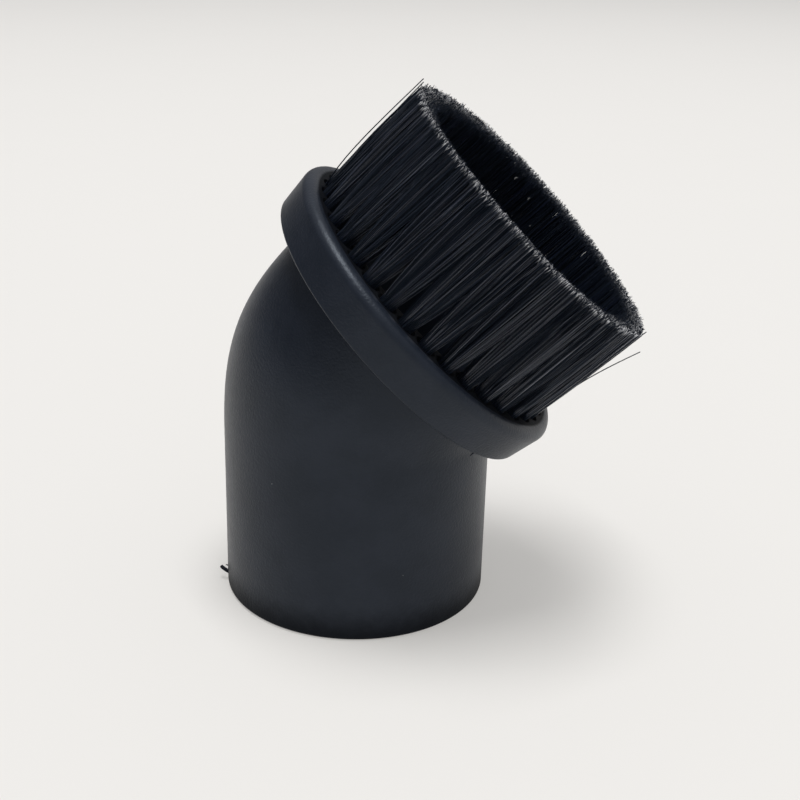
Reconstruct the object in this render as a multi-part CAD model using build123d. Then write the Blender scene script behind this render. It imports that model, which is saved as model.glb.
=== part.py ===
from build123d import *
import math
import os

# Angled dusting nozzle for a vacuum wand, in millimetres.
# The socket tube stands on the XY plane with its axis on +Z, and the brush head leans towards +X.

# Socket tube
socket_bore_d = 32.0
tube_wall = 2.5
socket_depth = 22.0
stop_ledge = 0.8
socket_lead_in = 0.4
base_edge_round = 0.5

# Elbow
stop_to_bend = 2.1
inner_bend_r = 2.3
head_angle = 45.0
shoulder_swell = 0.6
straight_sections = 4
bend_sections = 7

# Collar, whose flat top is the land for the tufts
collar_height = 6.1
collar_flare = 7.5
collar_edge_round = 0.3
collar_top_round = 1.3
edge_to_hole = 2.75
mouth_to_hole = 3.5
mouth_round = 2.8

# Bristle tufts
tuft_count = 36
tuft_phase = 1.5
tuft_root_d = 2.2
tuft_tip_d = 4.4
tuft_reach = 18.1
tuft_meet_height = 5.8
tuft_spread_in = 1.95
tuft_spread_out = 1.45
tuft_gap = 0.15
hole_clearance = 0.05
hole_depth = 3.5
hole_lead_in = 0.45

# Staples that hold the folded tufts in their holes
anchor_thickness = 0.3
anchor_height = 1.6
anchor_bite = 0.35
anchor_side_clearance = 0.02
fold_thickness = 0.6

# Length by which a cutting tool overruns the face it opens
overrun = 1.0

# Derived sizes
socket_r = socket_bore_d / 2
tube_r = socket_r + tube_wall
airway_r = socket_r - stop_ledge
bend_start = socket_depth + stop_to_bend
bend_r = tube_r + inner_bend_r

root_r = tuft_root_d / 2
hole_r = root_r + hole_clearance
ring_r = airway_r + mouth_to_hole + hole_r
collar_top_r = ring_r + hole_r + edge_to_hole
collar_lower_r = collar_top_r - collar_height * math.tan(math.radians(collar_flare))
hole_floor = collar_height - hole_depth
anchor_floor = hole_floor + fold_thickness
anchor_width = 2 * (hole_r + anchor_bite)
tip_height = collar_height + tuft_reach
meet_r = math.pi * ring_r / tuft_count

upright = (Align.CENTER, Align.CENTER, Align.MIN)


def bend_plane(turn):
    """The plane across the centre line after a share of the bend, from 0 to 1."""
    angle = math.radians(head_angle * turn)
    sine = math.sin(angle)
    cosine = math.cos(angle)
    centre = (bend_r * (1 - cosine), 0, bend_start + bend_r * sine)
    return Plane(origin=centre, x_dir=(cosine, 0, -sine), z_dir=(sine, 0, cosine))


def bend_section(turn):
    """The elbow's outer circle after a share of the bend, swelled on the shoulder side alone."""
    swell_r = shoulder_swell / 2 * math.sin(math.pi * turn) ** 2
    return bend_plane(turn) * Pos(-swell_r, 0, 0) * Circle(tube_r + swell_r)


def corner(face, point):
    """The corner of a flat profile at a point."""
    return face.vertices().sort_by_distance(point)[0]


head = bend_plane(1)


def outer_skin():
    """Tube and elbow as one loft, from the base to the underside of the collar."""
    sections = []
    for step in range(straight_sections):
        height = bend_start * step / straight_sections
        sections.append(Pos(0, 0, height) * Circle(tube_r))
    for step in range(bend_sections):
        sections.append(bend_section(step / (bend_sections - 1)))
    skin = loft(sections)
    base_edge = skin.edges().sort_by(Axis.Z)[0]
    return fillet(base_edge, base_edge_round)


def collar():
    """Flared collar about the head's axis, with a flat top and round edges."""
    lower_edge = (collar_lower_r, 0)
    top_edge = (collar_top_r, collar_height)
    outline = Polyline((0, 0), lower_edge, top_edge, (0, collar_height), close=True)
    profile = make_face(outline)
    profile = fillet(corner(profile, lower_edge), collar_edge_round)
    profile = fillet(corner(profile, top_edge), collar_top_round)
    return head * revolve(Plane.XZ * profile, Axis.Z)


def wand_bore():
    """Socket for the wand's end, with a lead-in at its mouth."""
    bore = Cylinder(socket_r, socket_depth, align=upright)
    return bore + Cone(socket_r + socket_lead_in, socket_r, socket_lead_in, align=upright)


def airway():
    """Round passage from inside the socket, round the bend and out at the land."""
    rise = Line((0, socket_depth / 2), (0, bend_start))
    bend = JernArc(rise @ 1, rise % 1, bend_r, -head_angle)
    run_out = Line(bend @ 1, bend @ 1 + (bend % 1) * (collar_height + overrun))
    start = Pos(0, 0, socket_depth / 2) * Circle(airway_r)
    return sweep(start, path=Plane.XZ * (rise + bend + run_out))


def tuft_places():
    """Places of the tufts round the head's axis, each with its X pointing outwards."""
    return PolarLocations(ring_r, tuft_count, start_angle=tuft_phase)


def tuft_hole():
    """Blind hole for a tuft, with a lead-in and the grooves that its staple cuts down both sides."""
    hole = Pos(0, 0, hole_floor) * Cylinder(hole_r, hole_depth + overrun, align=upright)
    lead_in = Cone(hole_r, hole_r + hole_lead_in, hole_lead_in, align=upright)
    hole += Pos(0, 0, collar_height - hole_lead_in) * lead_in
    groove = Box(
        anchor_width + 2 * anchor_side_clearance,
        anchor_thickness + 2 * anchor_side_clearance,
        collar_height - anchor_floor + overrun,
        align=upright,
    )
    return hole + Pos(0, 0, anchor_floor) * groove


def anchor():
    """Flat staple across a tuft hole, biting into the plastic on both sides."""
    return Pos(0, 0, anchor_floor) * Box(anchor_width, anchor_thickness, anchor_height, align=upright)


def tuft():
    """Round bundle that fans out of its hole until its neighbours and the ring's faces stop it."""
    outline = Polyline(
        (0, hole_floor),
        (root_r, hole_floor),
        (root_r, collar_height),
        (meet_r, collar_height + tuft_meet_height),
        (tuft_tip_d / 2, tip_height),
        (0, tip_height),
        close=True,
    )
    bundle = revolve(Plane.XZ * make_face(outline), Axis.Z)
    gap_angle = math.degrees(tuft_gap / ring_r)
    share = 360 / tuft_count - gap_angle
    ring_wall = Polyline(
        (ring_r - tuft_spread_in, hole_floor),
        (ring_r + tuft_spread_out, hole_floor),
        (ring_r + tuft_spread_out, tip_height),
        (ring_r - tuft_spread_in, tip_height),
        close=True,
    )
    room = revolve(Plane.XZ * make_face(ring_wall), Axis.Z, revolution_arc=share)
    room = Pos(-ring_r, 0, 0) * Rot(0, 0, -share / 2) * room
    return (bundle & room) - anchor()


def nozzle_body():
    """The moulding: skin and collar, bored through, with the ring of tuft holes in its land."""
    body = outer_skin() + collar()
    body -= wand_bore()
    body -= airway()
    mouth_point = head.from_local_coords((airway_r, 0, collar_height))
    mouth_edge = body.edges().filter_by(GeomType.CIRCLE).sort_by_distance(mouth_point)[0]
    body = fillet(mouth_edge, mouth_round)
    hole = tuft_hole()
    body -= [head * place * hole for place in tuft_places()]
    return body


os.makedirs("parts", exist_ok=True)

export_step(nozzle_body(), "parts/nozzle_body.step")

one_tuft = tuft()
for number, place in enumerate(tuft_places(), start=1):
    export_step(head * place * one_tuft, f"parts/tuft_{number:02d}.step")

one_anchor = anchor()
anchors = Compound(children=[head * place * one_anchor for place in tuft_places()])
export_step(anchors, "parts/tuft_anchors.step")
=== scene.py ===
"""Looks of the angled dusting nozzle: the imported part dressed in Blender, in its own frame and in metres."""

import logging
import math
from collections.abc import Callable, Iterator
from dataclasses import dataclass
from enum import Enum
from typing import Any

import bmesh
import bpy
from mathutils import Matrix, Vector


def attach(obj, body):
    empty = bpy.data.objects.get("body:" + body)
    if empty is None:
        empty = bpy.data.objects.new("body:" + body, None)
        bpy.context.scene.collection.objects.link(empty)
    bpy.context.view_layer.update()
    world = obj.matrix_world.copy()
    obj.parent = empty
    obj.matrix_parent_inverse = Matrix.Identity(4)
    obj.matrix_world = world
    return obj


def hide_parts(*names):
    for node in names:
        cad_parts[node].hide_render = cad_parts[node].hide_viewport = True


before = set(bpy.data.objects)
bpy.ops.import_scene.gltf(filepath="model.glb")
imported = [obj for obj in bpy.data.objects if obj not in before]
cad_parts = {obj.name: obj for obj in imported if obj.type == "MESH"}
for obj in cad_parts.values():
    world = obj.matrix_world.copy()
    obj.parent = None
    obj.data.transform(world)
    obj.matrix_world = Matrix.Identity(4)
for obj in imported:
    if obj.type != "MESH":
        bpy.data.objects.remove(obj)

LOG = logging.getLogger("nozzle")
MM = 0.001
Colour = tuple[float, float, float]
Point = tuple[float, float, float]
Range = tuple[float, float]
Settings = dict[str, Any] | None
Inputs = dict[int | str, Any] | None
SOCKETS = {
    type(None): "NodeSocketGeometry",
    int: "NodeSocketInt",
    float: "NodeSocketFloat",
    Vector: "NodeSocketVector",
    bpy.types.Material: "NodeSocketMaterial",
}


class Slot(Enum):
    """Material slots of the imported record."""

    BODY = "body_plastic"
    BRISTLE = "bristle"


class Lamp(Enum):
    """Softboxes over the object."""

    OVERHEAD = "overhead_softbox"


def math_method(operation: str, swapped: bool = False) -> Callable[["Value", "Value | float"], "Value"]:
    """A method for one of Python's operators, which adds a Math node.

    Args:
        operation: The node's operation.
        swapped: Whether the other term comes first.

    Returns:
        The method.
    """

    def method(self: "Value", other: "Value | float") -> "Value":
        """The node's result for this and the other term."""
        terms = (other, self) if swapped else (self, other)
        return self.graph.math(operation, *terms)

    return method


class Value:
    """A node's output that Python's operators work on, each adding a Math node."""

    def __init__(self, graph: "Graph", socket: bpy.types.NodeSocket) -> None:
        """Keeps the graph and the socket."""
        self.graph = graph
        self.socket = socket

    __add__ = math_method("ADD")
    __radd__ = math_method("ADD", swapped=True)
    __sub__ = math_method("SUBTRACT")
    __rsub__ = math_method("SUBTRACT", swapped=True)
    __mul__ = math_method("MULTIPLY")
    __rmul__ = math_method("MULTIPLY", swapped=True)
    __truediv__ = math_method("DIVIDE")
    __pow__ = math_method("POWER")
    __mod__ = math_method("FLOORED_MODULO")


class Graph:
    """Adds nodes to a shader or geometry tree and links them."""

    def __init__(self, tree: bpy.types.NodeTree) -> None:
        """Keeps the tree."""
        self.tree = tree

    def node(self, kind: str, settings: Settings = None, inputs: Inputs = None) -> bpy.types.Node:
        """Adds a node.

        Args:
            kind: The node's type.
            settings: Values of its properties, set first.
            inputs: Numbers, colours or links for its sockets, by index or name.

        Returns:
            The node.
        """
        made = self.tree.nodes.new(kind)
        for name, setting in (settings or {}).items():
            setattr(made, name, setting)
        for key, given in (inputs or {}).items():
            source = given.socket if isinstance(given, Value) else given
            if isinstance(source, bpy.types.NodeSocket):
                self.tree.links.new(source, made.inputs[key])
            else:
                made.inputs[key].default_value = source
        return made

    def value(self, kind: str, settings: Settings = None, inputs: Inputs = None, output: int | str = 0) -> Value:
        """Adds a node and wraps one of its outputs.

        Args:
            kind: The node's type.
            settings: Values of its properties.
            inputs: Numbers, colours or links for its sockets.
            output: The output that is wanted.

        Returns:
            The wrapped output.
        """
        return Value(self, self.node(kind, settings, inputs).outputs[output])

    def shape(self, kind: str, inputs: Inputs, settings: Settings = None) -> Any:
        """Adds a geometry node and gives its first output."""
        return self.node(f"GeometryNode{kind}", settings, inputs).outputs[0]

    def math(self, operation: str, *terms: Value | float) -> Value:
        """A Math node on up to three terms."""
        return self.value("ShaderNodeMath", {"operation": operation}, dict(enumerate(terms)))

    def smooth(self, value: Value, low: float, high: float) -> Value:
        """A soft step from 0 at low to 1 at high."""
        return self.value("ShaderNodeMapRange", {"interpolation_type": "SMOOTHSTEP"}, {0: value, 1: low, 2: high})

    def blend(self, share: Value, first: Any, second: Any) -> Value:
        """A colour between two, by a share."""
        settings = {"data_type": "RGBA", "clamp_factor": True}
        return self.value("ShaderNodeMix", settings, {0: share, 6: rgba(first), 7: rgba(second)}, 2)

    def carried(self, name: str) -> Value:
        """A number that each point of the piece carries."""
        return self.value("ShaderNodeAttribute", {"attribute_name": name}, None, "Fac")

    def millimetres(self) -> Value:
        """The piece's own coordinates, in millimetres."""
        place = self.node("ShaderNodeTexCoord").outputs["Object"]
        return self.value("ShaderNodeVectorMath", {"operation": "SCALE"}, {0: place, "Scale": 1 / MM})

    def noise(self, place: Value, per_mm: float, detail: float = 3.0, roughness: float = 0.55) -> Value:
        """Cloudy noise from 0 to 1, with so many cells to a millimetre."""
        inputs = {"Vector": place, "Scale": per_mm, "Detail": detail, "Roughness": roughness}
        return self.value("ShaderNodeTexNoise", None, inputs)


def rgba(colour: Any) -> Any:
    """A colour with its alpha, or a link as it is."""
    return (*colour, 1.0) if isinstance(colour, tuple) else colour


def new_material(name: str) -> tuple[bpy.types.Material, Graph, bpy.types.Node]:
    """Starts a material with one Principled shader.

    Args:
        name: The material's name.

    Returns:
        The material, its graph and the shader node.
    """
    material = bpy.data.materials.new(name)
    material.use_nodes = True
    material.node_tree.nodes.clear()
    graph = Graph(material.node_tree)
    shader = graph.node("ShaderNodeBsdfPrincipled")
    graph.node("ShaderNodeOutputMaterial", None, {"Surface": shader.outputs[0]})
    return material, graph, shader


def feed(graph: Graph, shader: bpy.types.Node, values: dict[str, Any]) -> None:
    """Sets or links sockets of a shader.

    Args:
        graph: The graph that holds the shader.
        shader: The shader node.
        values: Numbers, colours or links, by socket name.
    """
    for name, given in values.items():
        if isinstance(given, Value):
            graph.tree.links.new(given.socket, shader.inputs[name])
        else:
            shader.inputs[name].default_value = rgba(given)


@dataclass(frozen=True)
class MouldedPlastic:
    """Black moulded plastic with a fine grain and dust, and painted shade, dark and matte, at its foot and among the
    tuft roots.
    """

    name: str = "moulded_black_plastic"
    colour: Colour = (0.0086, 0.0115, 0.0185)
    cloud_colour: Colour = (0.0135, 0.0170, 0.0260)
    # Painted shade: colour of the dark matte film at the foot and among the tuft roots
    painted_shade_colour: Colour = (0.0014, 0.0017, 0.0026)
    gloss_tint: Colour = (0.80, 0.89, 1.0)
    dust_colour: Colour = (0.30, 0.305, 0.31)
    roughness: float = 0.39
    shine: float = 0.30
    grain_per_mm: float = 2.8
    grain_depth: float = 0.050
    grain_roughness: float = 0.10
    cloud_per_mm: float = 0.14
    cloud_step: Range = (0.35, 0.7)
    smudge_per_mm: float = 0.55
    smudge_roughness: float = 0.14
    dust_per_mm: float = 0.34
    dust_lots: Range = (0.80, 0.82)
    dust_size: float = 0.11
    dust_least: float = 0.35
    dust_fade: Range = (1.0, 0.4)
    dust_roughness: float = 0.25
    # Roughness and shine of the painted shade film
    painted_shade_roughness: float = 0.85
    painted_shade_shine: float = 0.05
    # Painted shade at the foot: darker and duller towards the bottom
    foot_painted_shade: float = 0.72
    foot_height: float = 5.5
    foot_waver: float = 2.0
    # Painted shade and painted reflection of the black bristles on the land among the tuft roots
    root_painted_shade: float = 0.85
    root_depth: Range = (1.2, 0.9)
    root_inset: Range = (0.2, 0.7)

    def _root_shade(self, graph: Graph, place: Value, form: "NozzleForm") -> Value:
        """Share of the land that gets painted shade among the tufts, from 1 among their roots to 0 at the collar's
        round edge.

        Args:
            graph: The material's graph.
            place: The piece's own coordinates.
            form: Sizes of the nozzle.

        Returns:
            The share.
        """
        head = form.plane(1.0)
        from_head = graph.value(
            "ShaderNodeVectorMath", {"operation": "SUBTRACT"}, {0: place, 1: tuple(head.translation)}
        )
        axis = tuple(head.to_3x3() @ Vector((0.0, 0.0, 1.0)))
        height = graph.value("ShaderNodeVectorMath", {"operation": "DOT_PRODUCT"}, {0: from_head, 1: axis}, 1)
        reach = graph.value("ShaderNodeVectorMath", {"operation": "LENGTH"}, {0: from_head}, 1)
        radius = graph.math("SQRT", graph.math("MAXIMUM", reach * reach - height * height, 0.0))
        edge = form.collar_top_r - form.collar_top_round
        near_land = graph.smooth(height, *(form.collar_height - depth for depth in self.root_depth))
        among_roots = graph.smooth(radius, *(edge - inset for inset in self.root_inset))
        return near_land * among_roots

    def material(self, form: "NozzleForm") -> bpy.types.Material:
        """Builds the finish.

        Args:
            form: Sizes of the nozzle.

        Returns:
            The material.
        """
        material, graph, shader = new_material(self.name)
        place = graph.millimetres()
        grain = graph.noise(place, self.grain_per_mm, detail=2.0, roughness=0.6)
        clouds = graph.noise(place, self.cloud_per_mm, detail=5.0, roughness=0.6)
        smudges_and_shade_edge = graph.noise(place, self.smudge_per_mm, detail=6.0, roughness=0.65)
        cells = graph.node("ShaderNodeTexVoronoi", None, {"Vector": place, "Scale": self.dust_per_mm})
        lots = graph.node("ShaderNodeSeparateColor", None, {0: cells.outputs["Color"]})
        chosen = graph.smooth(Value(graph, lots.outputs[0]), *self.dust_lots)
        size = self.dust_least + (1 - self.dust_least) * Value(graph, lots.outputs[1])
        reach = self.dust_size * self.dust_per_mm * size
        speck = graph.smooth(Value(graph, cells.outputs["Distance"]) / reach, *self.dust_fade) * chosen
        tone = graph.blend(graph.smooth(clouds, *self.cloud_step), self.colour, self.cloud_colour)
        # Painted shade: darker and duller towards the foot, below a wavy edge
        height = graph.value("ShaderNodeSeparateXYZ", None, {0: place}, "Z")
        foot = graph.smooth(height + self.foot_waver * (smudges_and_shade_edge - 0.5), self.foot_height, 0.0)
        # Painted shade and painted reflection of the bristles on the land among the tuft roots
        roots = self._root_shade(graph, place, form)
        painted_shade = graph.math("MAXIMUM", self.foot_painted_shade * foot, self.root_painted_shade * roots)
        bump = {"Strength": 1.0, "Distance": self.grain_depth * MM, "Height": grain}
        normal = graph.value("ShaderNodeBump", None, bump)
        roughness = self.roughness + self.grain_roughness * (grain - 0.5)
        roughness = roughness + self.smudge_roughness * (smudges_and_shade_edge - 0.5) + self.dust_roughness * speck
        look = {
            "Base Color": graph.blend(speck, tone, self.dust_colour),
            "Roughness": roughness,
            "Specular IOR Level": self.shine,
            "Specular Tint": self.gloss_tint,
            "Normal": normal,
        }
        feed(graph, shader, look)
        # Painted shade: a dark matte shader mixed in at the foot and among the tuft roots
        painted_shade_film = graph.node("ShaderNodeBsdfPrincipled")
        matte = {"Roughness": self.painted_shade_roughness, "Specular IOR Level": self.painted_shade_shine, "Normal": normal}
        feed(graph, painted_shade_film, {"Base Color": self.painted_shade_colour} | matte)
        mixed = graph.node("ShaderNodeMixShader", None, {0: painted_shade, 1: shader.outputs[0], 2: painted_shade_film.outputs[0]})
        graph.tree.links.new(mixed.outputs[0], graph.tree.get_output_node("ALL").inputs["Surface"])
        return material


@dataclass(frozen=True)
class BristleFibre:
    """Black synthetic fibre, each strand a little different, with pale rough cut ends, partly real and partly painted
    highlight on each bundle's outer strands.
    """

    name: str = "black_bristle_fibre"
    dark: Colour = (0.0005, 0.0006, 0.0010)
    light: Colour = (0.009, 0.013, 0.030)
    # Cut ends: pale from the rough cut, with painted highlight on each bundle's outer strands
    cut_dark: Colour = (0.004, 0.004, 0.006)
    cut_pale_and_highlight: Colour = (0.72, 0.72, 0.73)
    dull_roughness: float = 0.78
    bright_roughness: float = 0.28
    shine: float = 0.50
    gloss_tint: Colour = (0.50, 0.68, 1.0)
    coat_roughness: float = 0.20
    coat_index: float = 2.0
    cut_from: float = 0.965
    shade_power: float = 2.5
    bright_step: Range = (0.35, 0.92)
    pale_end_highlight_step: Range = (0.45, 0.95)

    def material(self) -> bpy.types.Material:
        """Builds the finish from each strand's own shade and the share of its length.

        Returns:
            The material.
        """
        material, graph, shader = new_material(self.name)
        along, shade, fray_and_highlight = (graph.carried(name) for name in ("along", "shade", "fray_and_highlight"))
        cut = graph.smooth(along, self.cut_from, 1.0)
        bright = graph.smooth(shade, *self.bright_step) * (1 - cut)
        fibre = graph.blend(shade**self.shade_power, self.dark, self.light)
        # Painted highlight on the outer strands' cut ends, on top of the real paleness of the cut
        end = graph.blend(fray_and_highlight * graph.smooth(shade, *self.pale_end_highlight_step), self.cut_dark, self.cut_pale_and_highlight)
        look = {
            "Base Color": graph.blend(cut, fibre, end),
            "Roughness": self.dull_roughness + (self.bright_roughness - self.dull_roughness) * bright,
            "Specular IOR Level": self.shine,
            "Specular Tint": self.gloss_tint,
            "Coat Weight": bright**2,
            "Coat Roughness": self.coat_roughness,
            "Coat IOR": self.coat_index,
        }
        feed(graph, shader, look)
        return material


@dataclass(frozen=True)
class StapleSteel:
    """Plain flat steel wire with drawn scratches."""

    name: str = "staple_steel"
    colour: Colour = (0.52, 0.52, 0.50)
    stain_colour: Colour = (0.30, 0.29, 0.27)
    stain_per_mm: float = 1.3
    stain_step: Range = (0.4, 0.75)
    scratch_per_mm: float = 9.0
    scratch_roughness: float = 0.3
    roughness: float = 0.28

    def material(self) -> bpy.types.Material:
        """Builds the finish.

        Returns:
            The material.
        """
        material, graph, shader = new_material(self.name)
        place = graph.millimetres()
        stain = graph.noise(place, self.stain_per_mm, detail=4.0)
        scratch = graph.noise(place, self.scratch_per_mm, detail=2.0)
        look = {
            "Base Color": graph.blend(graph.smooth(stain, *self.stain_step), self.colour, self.stain_colour),
            "Metallic": 1.0,
            "Roughness": self.roughness + self.scratch_roughness * scratch,
        }
        feed(graph, shader, look)
        return material


@dataclass(frozen=True)
class LintFibre:
    """Pale lint and cuttings caught in the bristles."""

    name: str = "pale_lint"
    colour: Colour = (0.60, 0.60, 0.58)
    shadow: Colour = (0.30, 0.30, 0.29)
    mottle_per_mm: float = 6.0
    roughness: float = 0.8

    def material(self) -> bpy.types.Material:
        """Builds the finish.

        Returns:
            The material.
        """
        material, graph, shader = new_material(self.name)
        mottle = graph.noise(graph.millimetres(), self.mottle_per_mm)
        colour = graph.blend(mottle, self.shadow, self.colour)
        feed(graph, shader, {"Base Color": colour, "Roughness": self.roughness})
        return material


@dataclass(frozen=True)
class Station:
    """One ring of the moulding's wall: where it lies along the bend, and its radius, in millimetres."""

    turn: float
    along: float
    radius: float
    shift: float = 0.0


@dataclass(frozen=True)
class NozzleForm:
    """Sizes that the moulding and its tufts share, in millimetres and degrees."""

    socket_r: float = 16.0
    tube_r: float = 18.5
    airway_r: float = 15.2
    socket_depth: float = 22.0
    socket_lead_in: float = 0.4
    base_round: float = 0.5
    bend_start: float = 24.1
    bend_r: float = 20.8
    head_angle: float = 45.0
    shoulder_swell: float = 0.6
    collar_height: float = 6.1
    collar_flare: float = 7.5
    collar_edge_round: float = 0.3
    collar_top_r: float = 23.75
    collar_top_round: float = 1.3
    mouth_round: float = 2.8
    tuft_count: int = 36
    tuft_phase: float = 1.5
    ring_r: float = 19.85
    hole_r: float = 1.15
    hole_floor: float = 2.6
    hole_lead_in: float = 0.45
    tip_height: float = 24.2

    def plane(self, turn: float) -> Matrix:
        """Place of the wall's section after a share of the bend.

        Args:
            turn: Share of the bend, from 0 at the tube to 1 at the collar.

        Returns:
            A matrix from the section's own axes to the object's, in millimetres.
        """
        angle = math.radians(self.head_angle * turn)
        centre = (self.bend_r * (1 - math.cos(angle)), 0.0, self.bend_start + self.bend_r * math.sin(angle))
        return Matrix.Translation(centre) @ Matrix.Rotation(angle, 4, "Y")

    def tuft_angle(self, number: int) -> float:
        """Angle of a tuft round the head's axis, in radians."""
        return math.radians(self.tuft_phase + 360 / self.tuft_count * number)

    def tuft_place(self, number: int) -> Matrix:
        """Place of a tuft, with X pointing outwards and Z along the head's axis."""
        turn = Matrix.Rotation(self.tuft_angle(number), 4, "Z")
        return self.plane(1.0) @ turn @ Matrix.Translation((self.ring_r, 0, 0))

    def about(self, share: float, angle: float, radius: float, height: float) -> Vector:
        """A point about the axis at a share of the bend, in millimetres and degrees."""
        turn = math.radians(angle)
        return self.plane(share) @ Vector((radius * math.cos(turn), radius * math.sin(turn), height))


def new_object(name: str, data: bpy.types.ID) -> bpy.types.Object:
    """An object at the origin, linked to the scene."""
    made = bpy.data.objects.new(name, data)
    bpy.context.scene.collection.objects.link(made)
    return made


def mesh_of(work: bmesh.types.BMesh, name: str) -> bpy.types.Mesh:
    """Turns the faces of an edited mesh outwards and keeps it as a plain mesh.

    Args:
        work: The edited mesh, which is freed.
        name: The plain mesh's name.

    Returns:
        The plain mesh.
    """
    bmesh.ops.recalc_face_normals(work, faces=work.faces)
    mesh = bpy.data.meshes.new(name)
    work.to_mesh(mesh)
    work.free()
    return mesh


def grown(host: bpy.types.Object, tree: bpy.types.NodeTree, sizes: dict[str, Any]) -> bpy.types.Mesh:
    """Runs a geometry tree on an object and keeps the result as a plain mesh.

    Args:
        host: The object that the tree works on.
        tree: The geometry tree.
        sizes: Values of the tree's inputs, by name.

    Returns:
        The plain mesh, which the object now holds.
    """
    modifier = host.modifiers.new(tree.name, "NODES")
    modifier.node_group = tree
    for item in tree.interface.items_tree:
        if item.in_out == "INPUT" and sizes[item.name] is not None:
            modifier[item.identifier] = sizes[item.name]
    graph = bpy.context.evaluated_depsgraph_get()
    mesh = bpy.data.meshes.new_from_object(host.evaluated_get(graph), preserve_all_data_layers=True, depsgraph=graph)
    host.modifiers.remove(modifier)
    host.data = mesh
    return mesh


def new_tree(name: str, sizes: dict[str, Any]) -> tuple[Graph, bpy.types.Node, bpy.types.Node]:
    """Starts a geometry tree.

    Args:
        name: The tree's name.
        sizes: Values that its inputs are given, by name, with None for the geometry that it works on.

    Returns:
        The graph, the input node and the output node.
    """
    tree = bpy.data.node_groups.new(name, "GeometryNodeTree")
    tree.interface.new_socket("Geometry", in_out="OUTPUT", socket_type="NodeSocketGeometry")
    for label, size in sizes.items():
        tree.interface.new_socket(label, in_out="INPUT", socket_type=SOCKETS[type(size)])
    graph = Graph(tree)
    return graph, graph.node("NodeGroupInput"), graph.node("NodeGroupOutput")


def finish_tree(graph: Graph, shape: Any, given: bpy.types.Node, end: bpy.types.Node) -> bpy.types.NodeTree:
    """Ends a geometry tree in Realize Instances and Set Material.

    Args:
        graph: The tree's graph.
        shape: The geometry so far.
        given: The input node, with a Material input.
        end: The output node.

    Returns:
        The tree.
    """
    real = graph.shape("RealizeInstances", {0: shape})
    dressed = graph.shape("SetMaterial", {0: real, "Material": given.outputs["Material"]})
    graph.tree.links.new(dressed, end.inputs[0])
    return graph.tree


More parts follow.
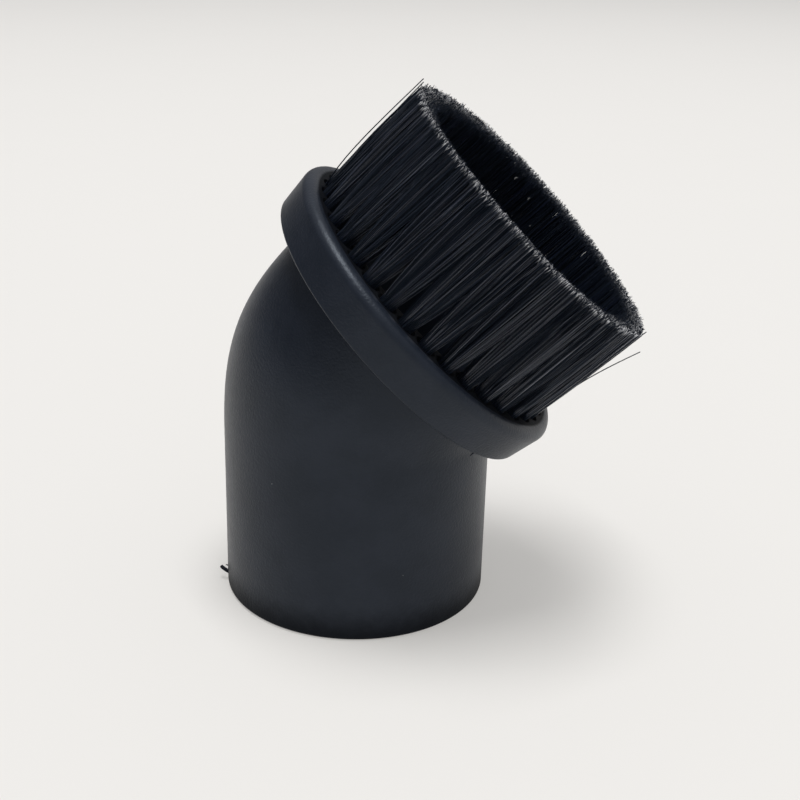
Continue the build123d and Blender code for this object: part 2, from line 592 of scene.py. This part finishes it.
@dataclass
class NozzleBody:
    """The moulding: socket tube, elbow and flared collar, with the ring of tuft holes in its land.

    The heights and radii are those of rings between its edges, and a margin sets a ring beside a round edge.
    """

    form: NozzleForm
    finish: MouldedPlastic
    steps_round: int = 216
    bend_steps: int = 36
    arc_steps: int = 9
    crease_angle: float = 34.0
    tube_heights: tuple[float, ...] = (0.7, 1.5, 4.0, 8.0, 12.0, 16.0, 20.0, 23.0)
    under_radii: tuple[float, ...] = (19.6, 21.2)
    under_margin: float = 0.25
    flare_heights: tuple[float, ...] = (0.45, 0.8, 2.0, 3.2, 4.1, 4.5)
    top_margin: float = 0.15
    land_radii: tuple[float, ...] = (21.6, 18.2)
    mouth_margin: float = 0.3
    neck_height: float = 1.5
    socket_heights: tuple[float, ...] = (16.0, 10.0, 4.0)
    weld: float = 1e-5
    hole_sides: int = 28
    hole_lap: float = 0.1

    def _arc(
        self, centre_r: float, centre_h: float, radius: float, start: float, end: float
    ) -> Iterator[tuple[float, float]]:
        """Radius and height of points along a round edge.

        Args:
            centre_r: Radius of the edge's centre.
            centre_h: Height of the edge's centre.
            radius: The edge's own radius.
            start: First angle, from outwards towards the axis direction.
            end: Last angle.

        Yields:
            Radius and height of each point.
        """
        for step in range(self.arc_steps + 1):
            angle = math.radians(start + (end - start) * step / self.arc_steps)
            yield centre_r + radius * math.cos(angle), centre_h + radius * math.sin(angle)

    def _outside(self) -> Iterator[Station]:
        """Stations from the base edge up the outside to the collar's underside."""
        form = self.form
        for radius, height in self._arc(form.tube_r - form.base_round, form.base_round, form.base_round, -90, 0):
            yield Station(0.0, height - form.bend_start, radius)
        for height in self.tube_heights:
            yield Station(0.0, height - form.bend_start, form.tube_r)
        for step in range(self.bend_steps + 1):
            turn = step / self.bend_steps
            swell = form.shoulder_swell / 2 * math.sin(math.pi * turn) ** 2
            yield Station(turn, 0.0, form.tube_r + swell, -swell)

    def _collar(self) -> Iterator[Station]:
        """Stations from the collar's underside over its top edge to the mouth."""
        form = self.form
        flare = math.radians(form.collar_flare)
        lower_r = form.collar_top_r - form.collar_height * math.tan(flare)

        def seat(height: float, radius: float) -> float:
            """Radius at which a round edge's centre touches the flare."""
            return lower_r + (height * math.sin(flare) - radius) / math.cos(flare)

        edge = form.collar_edge_round
        low_r = seat(edge, edge)
        for radius in (*self.under_radii, low_r - self.under_margin):
            yield Station(1.0, 0.0, radius)
        for radius, height in self._arc(low_r, edge, edge, -90, -form.collar_flare):
            yield Station(1.0, height, radius)
        for height in self.flare_heights:
            yield Station(1.0, height, lower_r + height * math.tan(flare))
        top = form.collar_height - form.collar_top_round
        top_r = seat(top, form.collar_top_round)
        for radius, height in self._arc(top_r, top, form.collar_top_round, -form.collar_flare, 90):
            yield Station(1.0, height, radius)
        for radius in (top_r - self.top_margin, *self.land_radii):
            yield Station(1.0, form.collar_height, radius)

    def _inside(self) -> Iterator[Station]:
        """Stations from the mouth down the airway and the socket to the base."""
        form = self.form
        mouth = form.mouth_round
        for radius, height in self._arc(form.airway_r + mouth, form.collar_height - mouth, mouth, 90, 180):
            yield Station(1.0, height, radius)
        for height in (form.collar_height - mouth - self.mouth_margin, self.neck_height):
            yield Station(1.0, height, form.airway_r)
        for step in range(self.bend_steps + 1):
            yield Station(1 - step / self.bend_steps, 0.0, form.airway_r)
        ledge = form.socket_depth - form.bend_start
        yield Station(0.0, ledge, form.airway_r)
        yield Station(0.0, ledge, form.socket_r)
        for height in (*self.socket_heights, form.socket_lead_in):
            yield Station(0.0, height - form.bend_start, form.socket_r)
        yield Station(0.0, -form.bend_start, form.socket_r + form.socket_lead_in)

    def _shell(self) -> bpy.types.Mesh:
        """The wall as one closed loop of rings, with no holes for tufts yet.

        Returns:
            A closed mesh in millimetres.
        """
        rings = [*self._outside(), *self._collar(), *self._inside()]
        work = bmesh.new()
        rows = []
        for ring in rings:
            plane = self.form.plane(ring.turn)
            row = []
            for step in range(self.steps_round):
                angle = math.tau * step / self.steps_round
                local = (ring.shift + ring.radius * math.cos(angle), ring.radius * math.sin(angle), ring.along)
                row.append(work.verts.new(plane @ Vector(local)))
            rows.append(row)
        for near, far in zip(rows, rows[1:] + rows[:1]):
            for step in range(self.steps_round):
                after = (step + 1) % self.steps_round
                work.faces.new((near[step], near[after], far[after], far[step]))
        bmesh.ops.remove_doubles(work, verts=work.verts, dist=self.weld)
        return mesh_of(work, "nozzle_shell")

    def _hole_tree(self, sizes: dict[str, Any]) -> bpy.types.NodeTree:
        """A tree that bores a ring of blind holes with lead-ins into a shell.

        Args:
            sizes: Values that its inputs are given.

        Returns:
            The tree.
        """
        graph, given, end = new_tree("tuft_holes", sizes)
        put = given.outputs
        ring = graph.shape("MeshCircle", {"Vertices": put["Holes"], "Radius": put["Ring Radius"]})

        def cut(shell: Any, tool: Any, rise: Any) -> Any:
            """The shell with a ring of tools cut out of it, at a height over the collar's foot."""
            tools = graph.shape("InstanceOnPoints", {"Points": ring, "Instance": tool})
            lift = graph.value("ShaderNodeCombineXYZ", None, {2: rise})
            for shift, turn in ((lift, put["Phase"]), (put["Head"], put["Lean"])):
                tools = graph.shape("Transform", {0: tools, "Translation": shift, "Rotation": turn})
            solid = graph.shape("RealizeInstances", {0: tools})
            settings = {"operation": "DIFFERENCE", "solver": "MANIFOLD"}
            return graph.shape("MeshBoolean", {"Mesh 1": shell, "Mesh 2": solid}, settings)

        sides = {"Vertices": self.hole_sides}
        drill = graph.shape("MeshCylinder", sides | {"Radius": put["Hole Radius"], "Depth": put["Depth"]})
        lead = {
            "Radius Top": Value(graph, put["Lead Radius"]) + Value(graph, put["Lead Depth"]),
            "Radius Bottom": put["Lead Radius"],
            "Depth": put["Lead Depth"],
        }
        bored = cut(put["Shell"], drill, put["Middle"])
        sunk = cut(bored, graph.shape("MeshCone", sides | lead), put["Lead Foot"])
        return finish_tree(graph, sunk, given, end)

    def build(self) -> bpy.types.Object:
        """Makes the moulding in place of its CAD solid.

        Returns:
            The piece.
        """
        form = self.form
        depth = 2.0 * (form.collar_height - form.hole_floor)
        lap = self.hole_lap
        sizes = {
            "Shell": None,
            "Holes": form.tuft_count,
            "Ring Radius": form.ring_r,
            "Hole Radius": form.hole_r,
            "Depth": depth,
            "Middle": form.hole_floor + depth / 2,
            "Lead Radius": form.hole_r - lap,
            "Lead Depth": form.hole_lead_in + 2 * lap,
            "Lead Foot": form.collar_height - form.hole_lead_in - lap,
            "Head": form.plane(1.0).translation,
            "Lean": Vector((0.0, math.radians(form.head_angle), 0.0)),
            "Phase": Vector((0.0, 0.0, math.radians(form.tuft_phase))),
            "Material": self.finish.material(form),
        }
        piece = new_object("nozzle_moulding", self._shell())
        mesh = grown(piece, self._hole_tree(sizes), sizes)
        mesh.transform(Matrix.Scale(MM, 4))
        mesh.shade_smooth()
        mesh.set_sharp_from_angle(angle=math.radians(self.crease_angle))
        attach(piece, "root")
        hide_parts("nozzle_body")
        return piece


@dataclass
class TuftRing:
    """The ring of bristle tufts, each a fan of separate strands out of its hole, in millimetres."""

    form: NozzleForm
    finish: BristleFibre
    strands_across: int = 16
    strands_round: int = 16
    across_jitter: Range = (0.1, 0.9)
    round_jitter: Range = (-0.2, 1.2)
    strand_r: float = 0.056
    strand_least: float = 0.85
    strand_gain: float = 0.3
    strand_points: int = 8
    strand_sides: int = 3
    root_r: float = 1.08
    spread_in: float = 1.95
    spread_out: float = 1.40
    half_width: float = 1.93
    fan_power: float = 2.1
    foot_height: float = 3.8
    stray: float = 0.22
    bow: float = 0.18
    uneven: float = 0.5
    inner_drop: float = 0.5
    wear: float = 0.6
    # Painted highlight: cut ends paler towards the bundle's outer side, where light falls
    pale_end_highlight_step: Range = (-0.9, 0.9)
    splits: int = 170
    split_points: int = 3
    split_length: float = 0.80
    split_r: float = 0.048
    split_root: float = 1.1
    split_taper: float = 0.3
    split_stray: float = 0.45
    split_rise: Range = (-0.45, 0.1)
    split_from: float = 0.96
    chart_margin: float = 0.02
    seed: int = 41
    seed_step: int = 50

    def _tube(self, graph: Graph, lines: Any, along: Any, shade: Value, fray_and_highlight: Value, radius: Value) -> Any:
        """Strands with a few-sided section, with what the finish reads and a chart for baking kept on them.

        Args:
            graph: The tree's graph.
            lines: The strands' middle lines.
            along: Share of the length, from root to tip.
            shade: Random shade of each strand.
            fray_and_highlight: How pale its cut end is: painted highlight towards the bundle's outer side, on top of
                the real paleness of the cut.
            radius: Radius at each point.

        Returns:
            The geometry socket.
        """
        kept = {"data_type": "FLOAT", "domain": "POINT"}
        for name, field in (("along", along), ("shade", shade), ("fray_and_highlight", fray_and_highlight)):
            lines = graph.shape("StoreNamedAttribute", {0: lines, 2: name, 3: field}, kept)
        ring = graph.shape("CurvePrimitiveCircle", {"Resolution": self.strand_sides, "Radius": 1.0})
        share = graph.value("GeometryNodeSplineParameter")
        ring = graph.shape("StoreNamedAttribute", {0: ring, 2: "round", 3: share}, kept)
        tubes = graph.shape("CurveToMesh", {0: lines, 1: ring, 2: radius, 3: True})
        read = {"data_type": "FLOAT"}
        side, lane, rise = (
            graph.value("GeometryNodeInputNamedAttribute", read, {0: name}) for name in ("round", "shade", "along")
        )
        margin = self.chart_margin
        across = margin + (1 - 3 * margin) * lane + margin * side
        chart = graph.value("ShaderNodeCombineXYZ", None, {0: across, 1: margin / 2 + (1 - margin) * rise})
        flat = {"data_type": "FLOAT2", "domain": "CORNER"}
        return graph.shape("StoreNamedAttribute", {0: tubes, 2: "OFBake", 3: chart}, flat)

    def _lines(
        self, graph: Graph, points: int, amount: Value, seed: Value
    ) -> tuple[Any, Value, Value, Callable[[int, float, float], Value]]:
        """Upright lines, to be bent into strands.

        Args:
            graph: The tree's graph.
            points: How many points each line has.
            amount: How many lines there are.
            seed: The tuft's own seed.

        Returns:
            The lines, the number of each, the share of its length and what draws a random number for it.
        """
        line = graph.shape("CurvePrimitiveLine", {"End": (0.0, 0.0, 1.0)})
        line = graph.shape("ResampleCurve", {0: line, "Count": points}, {"mode": "COUNT"})
        many = graph.node("GeometryNodeDuplicateElements", {"domain": "SPLINE"}, {0: line, "Amount": amount})
        item = Value(graph, many.outputs["Duplicate Index"])

        def lot(draw: int, low: float, high: float) -> Value:
            """A random number between two for each line, by the number of the draw."""
            inputs = {2: low, 3: high, 7: item, 8: seed + draw}
            return graph.value("FunctionNodeRandomValue", {"data_type": "FLOAT"}, inputs, 1)

        return many.outputs[0], item, graph.value("GeometryNodeSplineParameter"), lot

    def _bent(self, graph: Graph, lines: Any, *place: Value) -> Any:
        """Lines with their points moved to a place, given by its three coordinates."""
        point = graph.value("ShaderNodeCombineXYZ", None, dict(enumerate(place)))
        return graph.shape("SetPosition", {0: lines, "Position": point})

    def _tip(self, size: dict[str, Value], out: Value, side: Value) -> tuple[Value, Value]:
        """Place of a tip in the tuft's share of the ring, from its place in the bundle."""
        tip_x = size["Spread Middle"] + size["Spread Half"] * out
        return tip_x, size["Half Width"] * side * (1 + tip_x / size["Ring Radius"])

    def _strands(self, graph: Graph, size: dict[str, Value]) -> Any:
        """The strands of a tuft, from inside the hole to their cut ends.

        Args:
            graph: The tree's graph.
            size: The tree's inputs.

        Returns:
            The geometry socket.
        """
        across, around = size["Strands Across"], size["Strands Round"]
        lines, item, share, lot = self._lines(graph, self.strand_points, across * around, size["Seed"])

        # Place of the strand in its bundle, from -1 to 1 outwards and round the ring
        column = item % across
        row = graph.math("FLOOR", item / across)
        out = (column + lot(0, *self.across_jitter)) / across * 2 - 1
        side = (row + lot(1, *self.round_jitter)) / around * 2 - 1

        # Root in the round hole, tip in the tuft's share of the ring
        root_x = size["Root Radius"] * out * graph.math("SQRT", 1 - side * side / 2)
        root_y = size["Root Radius"] * side * graph.math("SQRT", 1 - out * out / 2)
        tip_x, tip_y = self._tip(size, out, side)
        tip_x = tip_x + lot(2, -self.stray, self.stray)
        tip_y = tip_y + lot(3, -self.stray, self.stray)
        top = size["Tip"] + lot(4, -self.uneven, 0.0) - (1 - out) * (self.inner_drop / 2)

        # The fan opens fast above the land, and each strand bows a little between its ends
        height = size["Foot"] + share * (top - size["Foot"])
        rise = graph.math("MAXIMUM", (height - size["Land"]) / (size["Tip"] - size["Land"]), 0.0)
        spread = 1 - graph.math("MAXIMUM", 1 - rise, 0.0) ** self.fan_power
        sway = graph.math("SINE", graph.math("MINIMUM", rise, 1.0) * math.pi)
        bow_x = lot(5, -self.bow, self.bow) * sway
        bow_y = lot(6, -self.bow, self.bow) * sway
        x = root_x + (tip_x - root_x) * spread + bow_x
        y = root_y + (tip_y - root_y) * spread + bow_y
        bent = self._bent(graph, lines, x, y, height)
        shade = lot(7, 0.0, 1.0)
        # Painted highlight: cut ends paler towards the bundle's outer side, where light falls
        fray_and_highlight = graph.smooth(out, *self.pale_end_highlight_step)
        radius = size["Strand Radius"] * (self.strand_least + self.strand_gain * shade)
        return self._tube(graph, bent, share, shade, fray_and_highlight, radius)

    def _split_ends(self, graph: Graph, size: dict[str, Value]) -> Any:
        """Split ends about the tips of a tuft, short and thin.

        Args:
            graph: The tree's graph.
            size: The tree's inputs.

        Returns:
            The geometry socket.
        """
        lines, _, share, lot = self._lines(graph, self.split_points, size["Splits"], size["Seed"])
        out = lot(11, -1.0, 1.0)
        side = lot(12, -1.0, 1.0)
        base_x, base_y = self._tip(size, out, side)
        lean_x = lot(13, -self.split_stray, self.split_stray) * share
        lean_y = lot(14, -self.split_stray, self.split_stray) * share
        top = size["Tip"] + lot(15, *self.split_rise) - (1 - out) * (self.inner_drop / 2)
        height = top - size["Split Length"] * (1 - share)
        bent = self._bent(graph, lines, base_x + lean_x, base_y + lean_y, height)
        shade = lot(16, 0.0, 1.0)
        # Painted highlight: split ends paler towards the bundle's outer side, where light falls
        fray_and_highlight = graph.smooth(out, *self.pale_end_highlight_step)
        along = self.split_from + (1 - self.split_from) * share
        radius = size["Split Radius"] * (self.split_root - self.split_taper * share)
        return self._tube(graph, bent, along, shade, fray_and_highlight, radius)

    def _tree(self, sizes: dict[str, Any]) -> bpy.types.NodeTree:
        """A tree that grows one tuft about its own axis, in millimetres.

        Args:
            sizes: Values that its inputs are given.

        Returns:
            The tree.
        """
        graph, given, end = new_tree("bristle_tuft", sizes)
        size = {put.name: Value(graph, put) for put in given.outputs if put.name not in ("", "Material")}
        both = graph.node("GeometryNodeJoinGeometry")
        for part in (self._strands(graph, size), self._split_ends(graph, size)):
            graph.tree.links.new(part, both.inputs[0])
        return finish_tree(graph, both.outputs[0], given, end)

    def build(self) -> list[bpy.types.Object]:
        """Grows every tuft in place of its CAD solid.

        Returns:
            The pieces.
        """
        form = self.form
        sizes = {
            "Strands Across": self.strands_across,
            "Strands Round": self.strands_round,
            "Splits": self.splits,
            "Root Radius": self.root_r,
            "Spread Middle": (self.spread_out - self.spread_in) / 2,
            "Spread Half": (self.spread_out + self.spread_in) / 2,
            "Half Width": self.half_width,
            "Ring Radius": form.ring_r,
            "Foot": self.foot_height,
            "Land": form.collar_height,
            "Tip": form.tip_height,
            "Strand Radius": self.strand_r,
            "Split Radius": self.split_r,
            "Split Length": self.split_length,
            "Seed": self.seed,
            "Material": self.finish.material(),
        }
        tree = self._tree(sizes)
        pieces = []
        for number in range(form.tuft_count):
            name = f"tuft_{number + 1:02d}"
            piece = new_object(f"{name}_bristles", bpy.data.meshes.new(name))
            tip = form.tip_height - self.wear * max(0.0, -math.cos(form.tuft_angle(number))) ** 2
            mesh = grown(piece, tree, sizes | {"Tip": tip, "Seed": self.seed + self.seed_step * number})
            mesh.transform(Matrix.Scale(MM, 4) @ form.tuft_place(number))
            mesh.shade_smooth()
            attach(piece, "root")
            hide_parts(name)
            pieces.append(piece)
        return pieces


@dataclass(frozen=True)
class Thread:
    """A thin round thread through points about an axis of the nozzle.

    Each point is an angle in degrees, then a radius and a height in millimetres. The share says about which
    section's axis they lie: 0 for the tube and 1 for the head.
    """

    points: tuple[Point, ...]
    root_r: float
    tip_r: float
    share: float = 1.0
    shade: float = 0.3


@dataclass
class Leavings:
    """Small marks of making and use: bristles that stand off the ring, burrs of the mould and caught lint."""

    form: NozzleForm
    fibre: BristleFibre
    plastic: MouldedPlastic
    lint: LintFibre
    sides: int = 6
    steps: int = 10
    strays: tuple[Thread, ...] = (
        Thread(((-174.0, 20.9, 6.2), (-174.0, 22.2, 10.5), (-174.0, 22.1, 17.0), (-174.0, 22.15, 24.8)), 0.085, 0.07),
        Thread(((-174.0, 20.6, 6.2), (-174.0, 21.3, 14.0), (-174.0, 21.75, 19.5), (-174.0, 21.85, 24.5)), 0.085, 0.07),
        Thread(((-17.0, 20.6, 6.2), (-16.7, 21.1, 14.0), (-16.9, 21.4, 16.0), (-17.3, 22.95, 22.5)), 0.08, 0.065),
        Thread(((-16.0, 20.7, 8.0), (-16.5, 21.1, 18.0), (-16.8, 21.45, 24.7)), 0.08, 0.065),
    )
    burrs: tuple[Thread, ...] = (
        Thread(((-165.5, 18.2, -22.85), (-166.5, 18.9, -22.75), (-168.0, 19.5, -22.3)), 0.30, 0.25, 0.0),
        Thread(((-166.0, 18.4, -21.9), (-166.0, 18.8, -21.75)), 0.11, 0.07, 0.0),
        Thread(((-47.0, 22.72, 0.10), (-47.2, 22.80, -0.55)), 0.13, 0.07),
    )
    flecks: tuple[Thread, ...] = (
        Thread(((97.3, 17.75, 21.7), (98.0, 17.6, 21.95), (97.1, 17.5, 22.15)), 0.09, 0.05),
        Thread(((86.0, 17.75, 21.1), (86.6, 17.6, 21.35), (85.9, 17.5, 21.45)), 0.08, 0.05),
        Thread(((76.0, 17.75, 18.8), (76.4, 17.6, 18.95)), 0.06, 0.04),
        Thread(((103.0, 17.75, 23.2), (103.3, 17.6, 23.4)), 0.05, 0.03),
    )

    def _curve(self, points: list[Vector], share: float) -> Vector:
        """A point on the smooth curve that a few points pull along.

        Args:
            points: Control points.
            share: Share of the curve, from 0 to 1.

        Returns:
            The point.
        """
        while len(points) > 1:
            points = [near.lerp(far, share) for near, far in zip(points, points[1:])]
        return points[0]

    def _thread(self, work: bmesh.types.BMesh, thread: Thread) -> None:
        """Adds a tapered round thread with closed ends to a mesh.

        Args:
            work: The mesh.
            thread: The thread.
        """
        along = work.verts.layers.float["along"]
        shade = work.verts.layers.float["shade"]
        controls = [self.form.about(thread.share, *point) for point in thread.points]
        middle = [self._curve(controls, step / self.steps) for step in range(self.steps + 1)]
        across = (middle[1] - middle[0]).orthogonal()
        rows = []
        for step, centre in enumerate(middle):
            share = step / self.steps
            ahead = (middle[min(step + 1, self.steps)] - middle[max(step - 1, 0)]).normalized()
            across = (across - ahead * across.dot(ahead)).normalized()
            radius = thread.root_r + (thread.tip_r - thread.root_r) * share
            row = []
            for side in range(self.sides):
                turn = Matrix.Rotation(math.tau * side / self.sides, 3, ahead)
                vert = work.verts.new(centre + turn @ across * radius)
                vert[along] = share
                vert[shade] = thread.shade
                row.append(vert)
            rows.append(row)
        for near, far in zip(rows, rows[1:]):
            for side in range(self.sides):
                after = (side + 1) % self.sides
                work.faces.new((near[side], near[after], far[after], far[side]))
        work.faces.new(rows[0][::-1])
        work.faces.new(rows[-1])

    def _piece(
        self, name: str, threads: tuple[Thread, ...], finish: bpy.types.Material
    ) -> bpy.types.Object:
        """Threads of one finish as a piece.

        Args:
            name: Name of the piece.
            threads: The threads.
            finish: Their material.

        Returns:
            The piece.
        """
        work = bmesh.new()
        for layer in ("along", "shade"):
            work.verts.layers.float.new(layer)
        for thread in threads:
            self._thread(work, thread)
        mesh = mesh_of(work, name)
        mesh.transform(Matrix.Scale(MM, 4))
        mesh.shade_smooth()
        mesh.materials.append(finish)
        piece = new_object(name, mesh)
        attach(piece, "root")
        return piece

    def build(self) -> list[bpy.types.Object]:
        """Makes the strays, the burrs and the lint.

        Returns:
            The pieces.
        """
        return [
            self._piece("stray_bristles", self.strays, self.fibre.material()),
            self._piece("mould_burrs", self.burrs, self.plastic.material(self.form)),
            self._piece("caught_lint", self.flecks, self.lint.material()),
        ]


@dataclass
class TuftStaples:
    """The flat staples that hold the folded tufts down in their holes."""

    finish: StapleSteel

    def dress(self) -> bpy.types.Object:
        """Gives the CAD node its finish.

        Returns:
            The node's object.
        """
        node = bpy.data.objects["tuft_anchors"]
        for place in node.material_slots:
            place.material = self.finish.material()
        return node


@dataclass
class Studio:
    """Pale floor, soft light from above and the camera at the photograph's angle.

    The table, its sweep, the lamp and the clip are in metres. The table's drop and glow and the camera's place
    are in millimetres.
    """

    table_colour: Colour = (0.435, 0.426, 0.412)
    table_glow: Colour = (0.362, 0.354, 0.340)
    far_glow: Colour = (0.150, 0.147, 0.142)
    glow_step: Range = (250.0, 2600.0)
    mottle_per_mm: float = 0.02
    mottle_share: float = 0.985
    table_r: float = 3.4
    table_sides: int = 96
    table_drop: float = 0.05
    table_roughness: float = 0.9
    sweep_r: float = 0.6
    sweep_rise: float = 75.0
    sweep_steps: int = 12
    horizon_colour: Colour = (0.50, 0.49, 0.475)
    ceiling_colour: Colour = (0.46, 0.465, 0.48)
    ceiling_step: Range = (0.05, 0.30)
    wall_colour: Colour = (0.07, 0.073, 0.08)
    wall_end_step: Range = (-0.85, 0.25)
    wall_top_step: Range = (0.38, 0.62)
    lamp_place: Point = (0.08, -0.10, 2.4)
    lamp_target: Point = (0.008, 0.0, 0.03)
    lamp_size: float = 1.0
    lamp_power: float = 47.0
    sensor: float = 36.0
    clip: Range = (0.01, 50.0)
    lens: float = 58.19
    camera_turn: float = 5.502
    camera_rise: float = 21.576
    camera_roll: float = 1.548
    camera_distance: float = 179.709
    camera_target: Point = (5.956, 0.0, 27.786)

    def build_floor(self) -> bpy.types.Object:
        """A wide pale table, lit a little from inside so that shadows on it stay light, with a low round sweep.

        Returns:
            The table.
        """
        material, graph, shader = new_material("pale_table")
        place = graph.millimetres()
        mottle = graph.noise(place, self.mottle_per_mm)
        reach = graph.value("ShaderNodeVectorMath", {"operation": "LENGTH"}, {0: place}, 1)
        dimmer = tuple(self.mottle_share * part for part in self.table_colour)
        reached = graph.smooth(reach, *self.glow_step)
        look = {
            "Base Color": graph.blend(mottle, dimmer, self.table_colour),
            "Roughness": self.table_roughness,
            "Specular IOR Level": 0.0,
            "Emission Color": graph.blend(reached, self.table_glow, self.far_glow),
            "Emission Strength": 1.0,
        }
        feed(graph, shader, look)
        work = bmesh.new()
        bmesh.ops.create_circle(work, cap_ends=True, segments=self.table_sides, radius=self.table_r)
        edge = [link for link in work.edges if link.is_boundary]
        for step in range(self.sweep_steps):
            rise = math.radians(self.sweep_rise * (step + 1) / self.sweep_steps)
            radius = self.table_r + self.sweep_r * math.sin(rise)
            height = self.sweep_r * (1 - math.cos(rise))
            grown_edge = bmesh.ops.extrude_edge_only(work, edges=edge)["geom"]
            edge = [part for part in grown_edge if isinstance(part, bmesh.types.BMEdge)]
            for corner in {vert for link in edge for vert in link.verts}:
                turn = math.atan2(corner.co.y, corner.co.x)
                corner.co = (radius * math.cos(turn), radius * math.sin(turn), height)
        mesh = mesh_of(work, "floor")
        mesh.transform(Matrix.Translation((0, 0, -self.table_drop * MM)))
        mesh.shade_smooth()
        mesh.materials.append(material)
        floor = new_object("floor", mesh)
        return floor

    def build_world(self) -> None:
        """A room that is pale round its foot and above, with a dark wall on the left."""
        world = bpy.data.worlds.new("pale_room")
        world.use_nodes = True
        world.node_tree.nodes.clear()
        graph = Graph(world.node_tree)
        way = graph.node("ShaderNodeTexCoord").outputs["Generated"]
        parts = graph.node("ShaderNodeSeparateXYZ", None, {0: way}).outputs
        rise = graph.smooth(Value(graph, parts["Z"]), *self.ceiling_step)
        beside = graph.smooth(Value(graph, parts["X"]), *self.wall_end_step)
        above = graph.smooth(Value(graph, parts["Z"]), *self.wall_top_step)
        room = graph.blend(rise, self.horizon_colour, self.ceiling_colour)
        tone = graph.blend(graph.math("MAXIMUM", beside, above), self.wall_colour, room)
        glow = graph.node("ShaderNodeBackground", None, {"Color": tone, "Strength": 1.0})
        graph.node("ShaderNodeOutputWorld", None, {"Surface": glow.outputs[0]})
        bpy.context.scene.world = world

    def build_lamp(self, lamp: Lamp) -> None:
        """A square softbox that faces the object.

        Args:
            lamp: Which softbox.
        """
        place = Vector(self.lamp_place)
        facing = (place - Vector(self.lamp_target)).to_track_quat("Z", "Y").to_matrix().to_4x4()
        data = bpy.data.lights.new(lamp.value, "AREA")
        data.size = self.lamp_size
        data.energy = self.lamp_power
        light = new_object(lamp.value, data)
        light.matrix_world = Matrix.Translation(place) @ facing

    def build_camera(self) -> None:
        """The camera of the photograph."""
        turn, rise = math.radians(self.camera_turn), math.radians(self.camera_rise)
        back = Vector((math.sin(turn) * math.cos(rise), -math.cos(turn) * math.cos(rise), math.sin(rise)))
        eye = (Vector(self.camera_target) + back * self.camera_distance) * MM
        roll = Matrix.Rotation(math.radians(self.camera_roll), 4, "Z")
        data = bpy.data.cameras.new("photo_camera")
        data.sensor_width = self.sensor
        data.lens = self.lens
        data.clip_start, data.clip_end = self.clip
        camera = new_object("photo_camera", data)
        camera.matrix_world = Matrix.Translation(eye) @ back.to_track_quat("Z", "Y").to_matrix().to_4x4() @ roll
        bpy.context.scene.camera = camera

    def build(self) -> None:
        """Sets the whole studio up."""
        self.build_floor()
        self.build_world()
        self.build_lamp(Lamp.OVERHEAD)
        self.build_camera()
        bpy.context.scene.view_settings.view_transform = "Standard"


def main() -> None:
    """Builds and dresses the nozzle, then the studio round it."""
    logging.basicConfig(level=logging.INFO, format="%(name)s: %(message)s")
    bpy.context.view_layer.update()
    form = NozzleForm()
    plastic = MouldedPlastic()
    fibre = BristleFibre()

    body = NozzleBody(form, plastic).build()
    tufts = TuftRing(form, fibre).build()
    marks = Leavings(form, fibre, plastic, LintFibre()).build()
    for piece in (body, *tufts, *marks):
        LOG.info("%s with %d faces", piece.name, len(piece.data.polygons))
    staples = TuftStaples(StapleSteel()).dress()
    LOG.info("%s keeps its CAD shape", staples.name)
    Studio().build()


if __name__ == "__main__":
    main()
